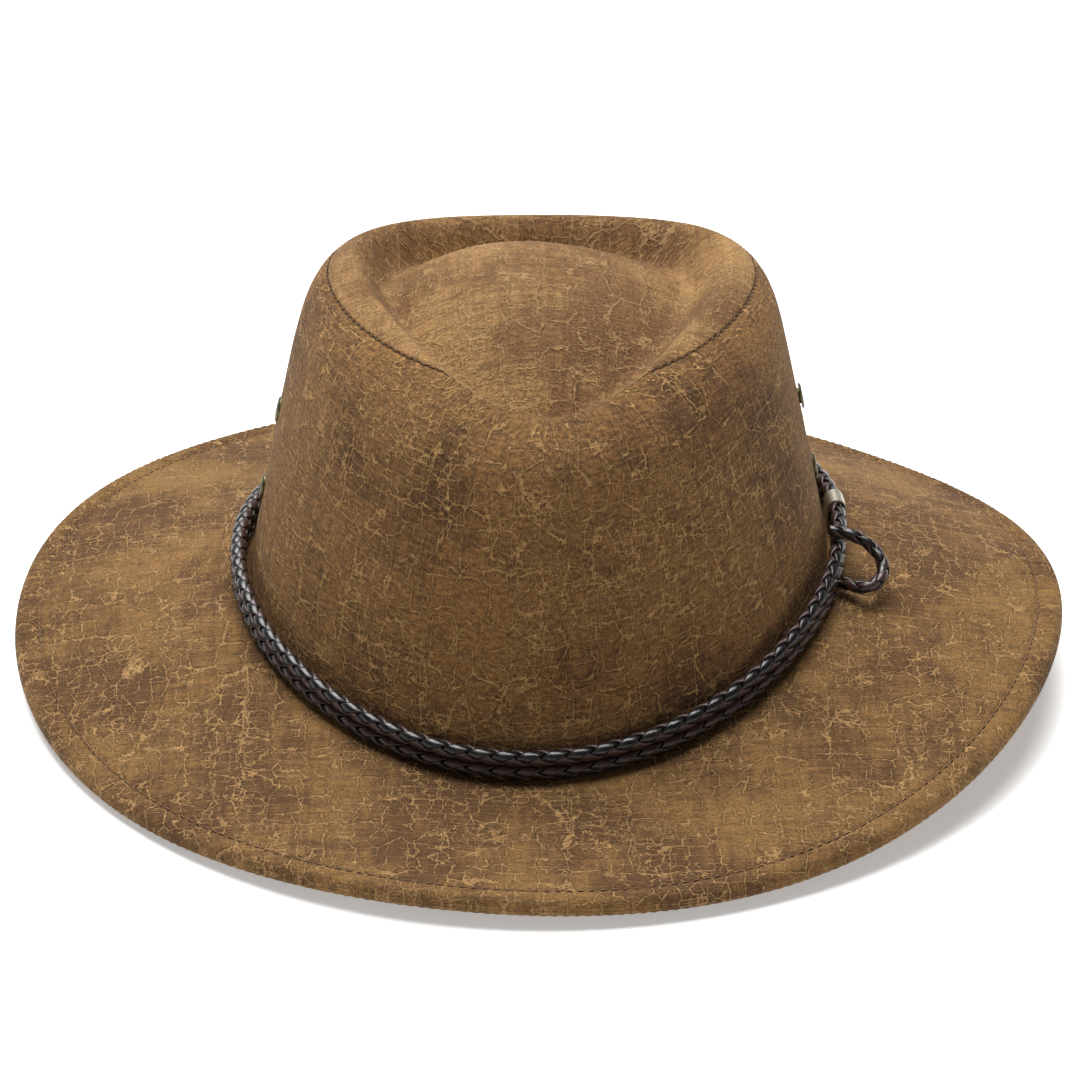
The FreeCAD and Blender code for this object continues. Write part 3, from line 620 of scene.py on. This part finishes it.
def layer_pieces(turn, depth, thick, steps, ease=None):
    """Closed rows of one layer of the crown: its side, and its tip over the dent.

    ease gives how far the side hangs in from the layer outside it, at each part of its height.
    """
    edge = seam_station(turn)
    side = []
    for face, shares in ((depth, np.linspace(0.01, 1, steps)),
                         (depth + thick, np.linspace(1, 0.01, steps))):
        for share in shares:
            side.append(crown_inside(turn, edge * share, face + (ease(share) if ease else 0.0)))
    side.append(side[0])
    inner, outer = [], []
    for share in np.linspace(0, 1, steps):
        station = edge + 0.004 + (LAST_RING - edge) * share
        outer.append(crown_inside(turn, station, depth))
        inner.append(crown_inside(turn, station, depth + thick))
    return side, [drawn_in(inner[-1])] + inner[::-1] + outer + [drawn_in(outer[-1])]


side, tip = layer_pieces(crown_turns[::2], STIFFENER_DEPTH, STIFFENER_THICK, 40)
for node_name, rows, places in (("crown_side_stiffener", side, cloth_places(side, CROWN_GIRTH)),
                                ("crown_tip_stiffener", tip, plan_places(tip))):
    piece = skin_mesh(node_name + "_felt", rows, places, felt)
    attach(piece, "hat")
    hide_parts(node_name)

# ---------------------------------------------------------------- lining
# Dark satin, a strip and a teardrop as in the crown. It is glued at the foot under the
# sweatband and hangs a little slack above it, so it lies in soft upright creases. The weave is
# near black with a soft sheen that shifts from place to place.
LINING_DEPTH = 2.8 * MM
LINING_CLOTH = 0.5 * MM
LINING_SLACK = 0.8 * MM
LINING_GIRTH = 0.55
FREE_FROM, FREE_TO = 0.36, 0.98             # parts of the wall between which it hangs free
satin, tree, shader = new_material("woven_satin", Roughness=0.38, IOR=1.5)
cloth = add(tree, "ShaderNodeUVMap", uv_map="cloth")
# Threads are 0.2 mm in the real satin; ribs of 0.8 mm are the finest that show.
ribs = add(tree, "ShaderNodeTexWave", {"Vector": cloth, "Scale": 62.0, "Distortion": 0.6,
                                       "Detail": 2.0, "Detail Scale": 8.0},
           bands_direction="DIAGONAL")
shimmer = add(tree, "ShaderNodeTexNoise", {"Vector": cloth, "Scale": 60.0, "Detail": 4.0})
tint = add(tree, "ShaderNodeMix", {"Factor": shimmer, "A": linear("1d1613"), "B": linear("3a2c25")},
           data_type="RGBA")
rough = add(tree, "ShaderNodeMapRange", {"Value": shimmer, "To Min": 0.3, "To Max": 0.5})
finish_material(tree, shader, tint, rough, ribs, 0.06 * MM)

lining_turns = crown_turns[::2]


def slack(share):
    """Upright creases in the lining, none at the foot and none at the seam."""
    waves = np.cos(19 * lining_turns + 3 * np.sin(2 * lining_turns)) + np.cos(31 * lining_turns)
    free = min(1, max(0, (share - FREE_FROM) * 8)) * min(1, max(0, (FREE_TO - share) * 12))
    return LINING_SLACK * free * (1 + waves / 2) / 2


side, tip = layer_pieces(lining_turns, LINING_DEPTH, LINING_CLOTH, 46, slack)
for node_name, rows, places, flat, area in (
        ("crown_side_lining", side, cloth_places(side, LINING_GIRTH), (0.585, 0.105), 0.0480),
        ("crown_tip_lining", tip, plan_places(tip), (0.12, 0.15), 0.0150)):
    piece = skin_mesh(node_name + "_satin", rows, places, satin)
    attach(piece, "hat")
    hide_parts(node_name)

# ---------------------------------------------------------------- sweatband
# A strip of grained leather cloth, 30 mm deep, sewn round the opening by its lower edge and
# free at its upper edge. It is dark brown, with an even grain of small pores pressed into it.
BAND_DEPTH = 4.3 * MM
BAND_START = -0.028                         # part of the wall, below the crown's foot
WALL_HEIGHT = 97.8                          # mean height of the crown's wall in mm
leather_cloth, tree, shader = new_material("embossed_leather_cloth", Roughness=0.5, IOR=1.5)
cloth = add(tree, "ShaderNodeUVMap", uv_map="cloth")
pores = add(tree, "ShaderNodeTexVoronoi", {"Vector": cloth, "Scale": 900.0}, feature="SMOOTH_F1")
shade = add(tree, "ShaderNodeTexNoise", {"Vector": cloth, "Scale": 90.0, "Detail": 4.0})
tint = add(tree, "ShaderNodeMix", {"Factor": shade, "A": linear("251a14"), "B": linear("44322a")},
           data_type="RGBA")
rough = add(tree, "ShaderNodeMapRange", {"Value": shade, "To Min": 0.42, "To Max": 0.6})
finish_material(tree, shader, tint, rough, pores, 0.12 * MM)

# Its section, height and depth in mm: up the outside, over the top, down the inside to the
# groove that its stitches lie in, and round the foot.
BAND_SECTION = [(height, 0.0) for height in np.linspace(0.6, 29.2, 14)]
BAND_SECTION += [(29.8, 0.25), (30.0, 0.6), (29.8, 0.95)]
BAND_SECTION += [(height, 1.2) for height in np.linspace(29.2, 4.2, 13)]
BAND_SECTION += [(3.4, 0.85), (3.0, 0.75), (2.6, 0.85), (1.8, 1.15), (0.6, 1.15), (0.1, 0.9),
                 (0.0, 0.6), (0.1, 0.3)]
band_rows = [crown_inside(lining_turns, BAND_START + height / WALL_HEIGHT, BAND_DEPTH + depth * MM)
             for height, depth in BAND_SECTION]
band_rows.append(band_rows[0])
piece = skin_mesh("sweatband_leather_cloth", band_rows, cloth_places(band_rows, CROWN_GIRTH), leather_cloth)
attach(piece, "hat")
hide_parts("sweatband")

band_line = crown_inside(closed_crown, BAND_START + 3.0 / WALL_HEIGHT, BAND_DEPTH + 0.78 * MM)
band_in = unit(crown_inside(closed_crown, 0.0, 2 * MM) - crown_inside(closed_crown, 0.0, 0))
stitch_line("sweatband_stitches", band_line, band_in,
            pitch=3.5 * MM, length=2.7 * MM, radius=0.24 * MM)

# ---------------------------------------------------------------- vents
# Rolled brass eyelets with washers behind the lining, darkened with an antique finish that
# has rubbed a little brighter in places.
antique_brass, tree, shader = new_material("antiqued_brass", Metallic=1.0)
place = add(tree, "ShaderNodeTexCoord").outputs["Object"]
tarnish = add(tree, "ShaderNodeTexNoise", {"Vector": place, "Scale": 700.0, "Detail": 4.0})
tint = add(tree, "ShaderNodeMix", {"Factor": tarnish, "A": linear("2e2c1f"), "B": linear("77714f")},
           data_type="RGBA")
rough = add(tree, "ShaderNodeMapRange", {"Value": tarnish, "To Min": 0.55, "To Max": 0.3})
finish_material(tree, shader, tint, rough, tarnish, 0.04 * MM)
give(["vent_eyelets_left", "vent_eyelets_right", "vent_washers_left", "vent_washers_right"],
     antique_brass)

# ---------------------------------------------------------------- band cords
# Two round braids of four bonded-leather laces lie one on the other round the crown. In each,
# two laces run one way round and two the other: black and dark brown, glazed to a gloss.
CORD_HALF_WIDTH = 90.4 * MM
CORD_HALF_LENGTH = 108.9 * MM
CORD_REST = 2.9 * MM                        # middle of the lower cord above the crown's foot
CORD_PITCH = 4.4 * MM
BRAIDS_ROUND = 45                           # turns of each lace round the whole cord
POINTS_PER_TURN = 26
LACE_OUT = 1.32                             # mm from the cord's middle to a lace, on average
LACE_WEAVE = 0.42                           # and how far it dips and rises where laces cross
LACE_HALF_WIDTH = 1.6
LACE_HALF_THICK = 0.58
LACE_SWING = 0.28                           # each lace swings this far, twice a turn
TOP_ROW = math.radians(50)                  # angle of the upper row of laces round the cord

laces = []
for name, deep, light, low_rough, high_rough in (
        ("black_glazed_bonded_leather", "070606", "191413", 0.22, 0.36),
        ("brown_glazed_bonded_leather", "20130f", "432b27", 0.3, 0.45)):
    lace, tree, shader = new_material(name, IOR=1.5, Coat_Weight=0.15, Coat_Roughness=0.2)
    place = add(tree, "ShaderNodeTexCoord").outputs["Object"]
    mottle = add(tree, "ShaderNodeTexNoise", {"Vector": place, "Scale": 350.0, "Detail": 4.0})
    skin = add(tree, "ShaderNodeTexNoise", {"Vector": place, "Scale": 1800.0, "Detail": 3.0})
    tint = add(tree, "ShaderNodeMix", {"Factor": mottle, "A": linear(deep), "B": linear(light)},
               data_type="RGBA")
    rough = add(tree, "ShaderNodeMapRange", {"Value": mottle, "To Min": low_rough, "To Max": high_rough})
    finish_material(tree, shader, tint, rough, skin, 0.07 * MM)
    laces.append(lace)


def braid(name, middle, side, up, phase, size, black_first, closed):
    """Round braid of four flat laces on a middle line.

    side and up are the cord's own axes at each point, phase how far each point lies along the
    braid, and size the cord's size over the usual.
    """
    leans = np.arange(8) * math.pi / 4
    flat_oval = np.stack([np.sign(np.cos(leans)) * np.abs(np.cos(leans)) ** 0.8,
                          np.sign(np.sin(leans)) * np.abs(np.sin(leans)) ** 0.8], axis=-1)
    tubes = []
    for way, start in ((1, 0), (1, math.pi), (-1, 0), (-1, math.pi)):
        angle = TOP_ROW + start + way * phase - LACE_SWING * np.sin(2 * phase)
        over = way * np.cos(2 * (angle - TOP_ROW))
        reach = size * (LACE_OUT + LACE_WEAVE * over) * MM
        outward = side * np.cos(angle)[:, None] + up * np.sin(angle)[:, None]
        spots = middle + outward * reach[:, None]
        if closed:
            along = unit(np.roll(spots, -1, axis=0) - np.roll(spots, 1, axis=0))
        else:
            along = unit(np.gradient(spots, axis=0))
        across = unit(np.cross(along, outward))
        outward = np.cross(across, along)
        width = size * LACE_HALF_WIDTH * MM
        thick = size * LACE_HALF_THICK * MM
        tubes.append(spots[:, None] + across[:, None] * flat_oval[:, :1] * width
                     + outward[:, None] * flat_oval[:, 1:] * thick)
    colours = np.array([0, 0, 1, 1] if black_first else [1, 1, 0, 0])
    return lay_mesh(name, np.array(tubes), closed, colours, laces)


CORD_POINTS = BRAIDS_ROUND * POINTS_PER_TURN
cord_turns = np.arange(CORD_POINTS) * 2 * math.pi / CORD_POINTS
plan = points(CORD_HALF_WIDTH * np.cos(cord_turns), CORD_HALF_LENGTH * np.sin(cord_turns), 0)
ring_step = np.linalg.norm(np.roll(plan, -1, axis=0) - plan, axis=1)
phase = np.cumsum(ring_step) / ring_step.sum() * 2 * math.pi * BRAIDS_ROUND
for cord_name, lift, size, black_first in (("band_cord_upper", CORD_PITCH, 1.0, True),
                                           ("band_cord_lower", 0.0, 0.955, False)):
    middle = plan + points(0, CROWN_BACK, join_height(cord_turns) + CORD_REST + lift)
    along = unit(np.roll(middle, -1, axis=0) - np.roll(middle, 1, axis=0))
    side = unit(np.cross(along, [0.0, 0.0, 1.0]))
    up = np.cross(side, along)
    piece = braid(cord_name + "_braid", middle, side, up, phase, size, black_first, True)
    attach(piece, "hat_band")
    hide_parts(cord_name)

# ---------------------------------------------------------------- band ferrule
# A short tube of nickel-plated sheet brass, squeezed oval over the joint of both cords. The
# plate is a warm pale grey, half dull and half rubbed bright.
nickel, tree, shader = new_material("dull_nickel_plate", Metallic=1.0)
place = add(tree, "ShaderNodeTexCoord").outputs["Object"]
rubbed = add(tree, "ShaderNodeTexNoise", {"Vector": place, "Scale": 800.0, "Detail": 4.0})
tint = add(tree, "ShaderNodeMix", {"Factor": rubbed, "A": linear("9f9886"), "B": linear("d5cfc0")},
           data_type="RGBA")
rough = add(tree, "ShaderNodeMapRange", {"Value": rubbed, "To Min": 0.5, "To Max": 0.3})
finish_material(tree, shader, tint, rough, rubbed, 0.05 * MM)
give(["band_ferrule"], nickel)

# ---------------------------------------------------------------- band loop
# The ends of the cords are braided on into a small loop. It starts on top of the pair, swings
# out over the brim and tucks back in below.
LOOP_TURN = 11.4 * MM                       # length of one turn of a lace
LOOP_SIZE = 0.8
LOOP_POINTS = 120
LOOP_ROUTE = (
    (0.0866, -0.0175, 0.0440), (0.0928, -0.0195, 0.0442), (0.0992, -0.0225, 0.0410),
    (0.1022, -0.0285, 0.0374), (0.0994, -0.0358, 0.0352), (0.0940, -0.0364, 0.0340),
    (0.0894, -0.0304, 0.0333))
route = bpy.data.curves.new("loop_route", "CURVE")
route.dimensions = "3D"
route.resolution_u = 24
spline = route.splines.new("NURBS")
spline.points.add(len(LOOP_ROUTE) - 1)
for point, place in zip(spline.points, LOOP_ROUTE):
    point.co = (*place, 1.0)
spline.order_u = 3
spline.use_endpoint_u = True
guide = bpy.data.objects.new("loop_route", route)
bpy.context.scene.collection.objects.link(guide)
traced = bpy.data.meshes.new_from_object(guide)
loop_line = np.array([vertex.co[:] for vertex in traced.vertices])
bpy.data.objects.remove(guide)
loop_run = np.concatenate([[0], np.cumsum(np.linalg.norm(np.diff(loop_line, axis=0), axis=1))])
loop_length = float(loop_run[-1])
even = np.linspace(0, loop_length, LOOP_POINTS)
middle = np.stack([np.interp(even, loop_run, loop_line[:, i]) for i in range(3)], axis=-1)
along = unit(np.gradient(middle, axis=0))
side = unit(np.cross(along, [0.0, 0.0, 1.0]))
up = np.cross(side, along)
phase = even / LOOP_TURN * 2 * math.pi
piece = braid("band_loop_braid", middle, side, up, phase, LOOP_SIZE, True, False)
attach(piece, "hat_band")
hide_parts("band_loop")

# ---------------------------------------------------------------- floor, light and camera
# A white opal table lit faintly from inside, a wide soft light overhead, a weak fill from the
# front, and the camera looking down at about 25 degrees with a long lens.
opal_acrylic, tree, shader = new_material("opal_acrylic_table", Roughness=0.9, Emission_Strength=0.35,
                                          Emission_Color=(1.0, 1.0, 1.0, 1.0))
place = add(tree, "ShaderNodeTexCoord").outputs["Object"]
grain = add(tree, "ShaderNodeTexNoise", {"Vector": place, "Scale": 40.0, "Detail": 2.0})
tint = add(tree, "ShaderNodeMix", {"Factor": grain, "A": linear("f4f4f3"), "B": linear("f8f8f7")},
           data_type="RGBA")
finish_material(tree, shader, tint)
TABLE_GAP = 0.2 * MM                        # keeps the table just clear of the brim
bpy.ops.mesh.primitive_plane_add(size=6.0, location=(0, 0, cad_box[0][2] - TABLE_GAP))
table = bpy.context.object
table.name = "table"
table.data.materials.append(opal_acrylic)

world = bpy.data.worlds.new("studio")
bpy.context.scene.world = world
world.use_nodes = True
# The studio round the table: white walls low down, and a dark ceiling above them.
walls = world.node_tree
heading = add(walls, "ShaderNodeTexCoord").outputs["Generated"]
heading = add(walls, "ShaderNodeSeparateXYZ", {"Vector": heading}).outputs["Z"]
shade = add(walls, "ShaderNodeMapRange", {"Value": heading, "From Min": 0.15, "From Max": 0.4,
                                          "To Min": 0.8, "To Max": 0.05})
walls.links.new(shade.outputs["Result"], walls.nodes["Background"].inputs["Color"])
bpy.context.scene.view_settings.view_transform = "Standard"


def soft_light(name, place, size, power, target=(0, 0, 0.05)):
    """Square area light that looks at the hat."""
    lamp = bpy.data.lights.new(name, "AREA")
    lamp.size = size
    lamp.energy = power
    light = bpy.data.objects.new(name, lamp)
    light.location = place
    light.rotation_euler = (Vector(target) - Vector(place)).to_track_quat("-Z", "Y").to_euler()
    bpy.context.scene.collection.objects.link(light)


soft_light("overhead_softbox", (-0.2, 0.55, 1.8), 1.6, 82)
soft_light("front_fill", (-0.6, -1.4, 1.3), 1.2, 1)

ELEVATION, AZIMUTH, ROLL_ANGLE = (math.radians(a) for a in (25.51, -1.24, -0.46))
DISTANCE = 1.3
VIEW_WIDTH = 326.28 * MM                    # width of the view at the hat
back = Vector((math.sin(AZIMUTH) * math.cos(ELEVATION), -math.cos(AZIMUTH) * math.cos(ELEVATION),
               math.sin(ELEVATION)))
across = (-back).cross(Vector((0, 0, 1))).normalized()
upright = across.cross(-back)
turned = Matrix.Rotation(ROLL_ANGLE, 3, -back)
lens = bpy.data.cameras.new("camera")
lens.lens = lens.sensor_width * DISTANCE / VIEW_WIDTH
camera = bpy.data.objects.new("camera", lens)
aim = Vector((0.0006, CROWN_BACK, 0.0321))
frame_axes = Matrix((turned @ across, turned @ upright, back)).transposed()
camera.matrix_world = Matrix.Translation(aim + back * DISTANCE) @ frame_axes.to_4x4()
lens.clip_start = 0.01
bpy.context.scene.collection.objects.link(camera)
bpy.context.scene.camera = camera
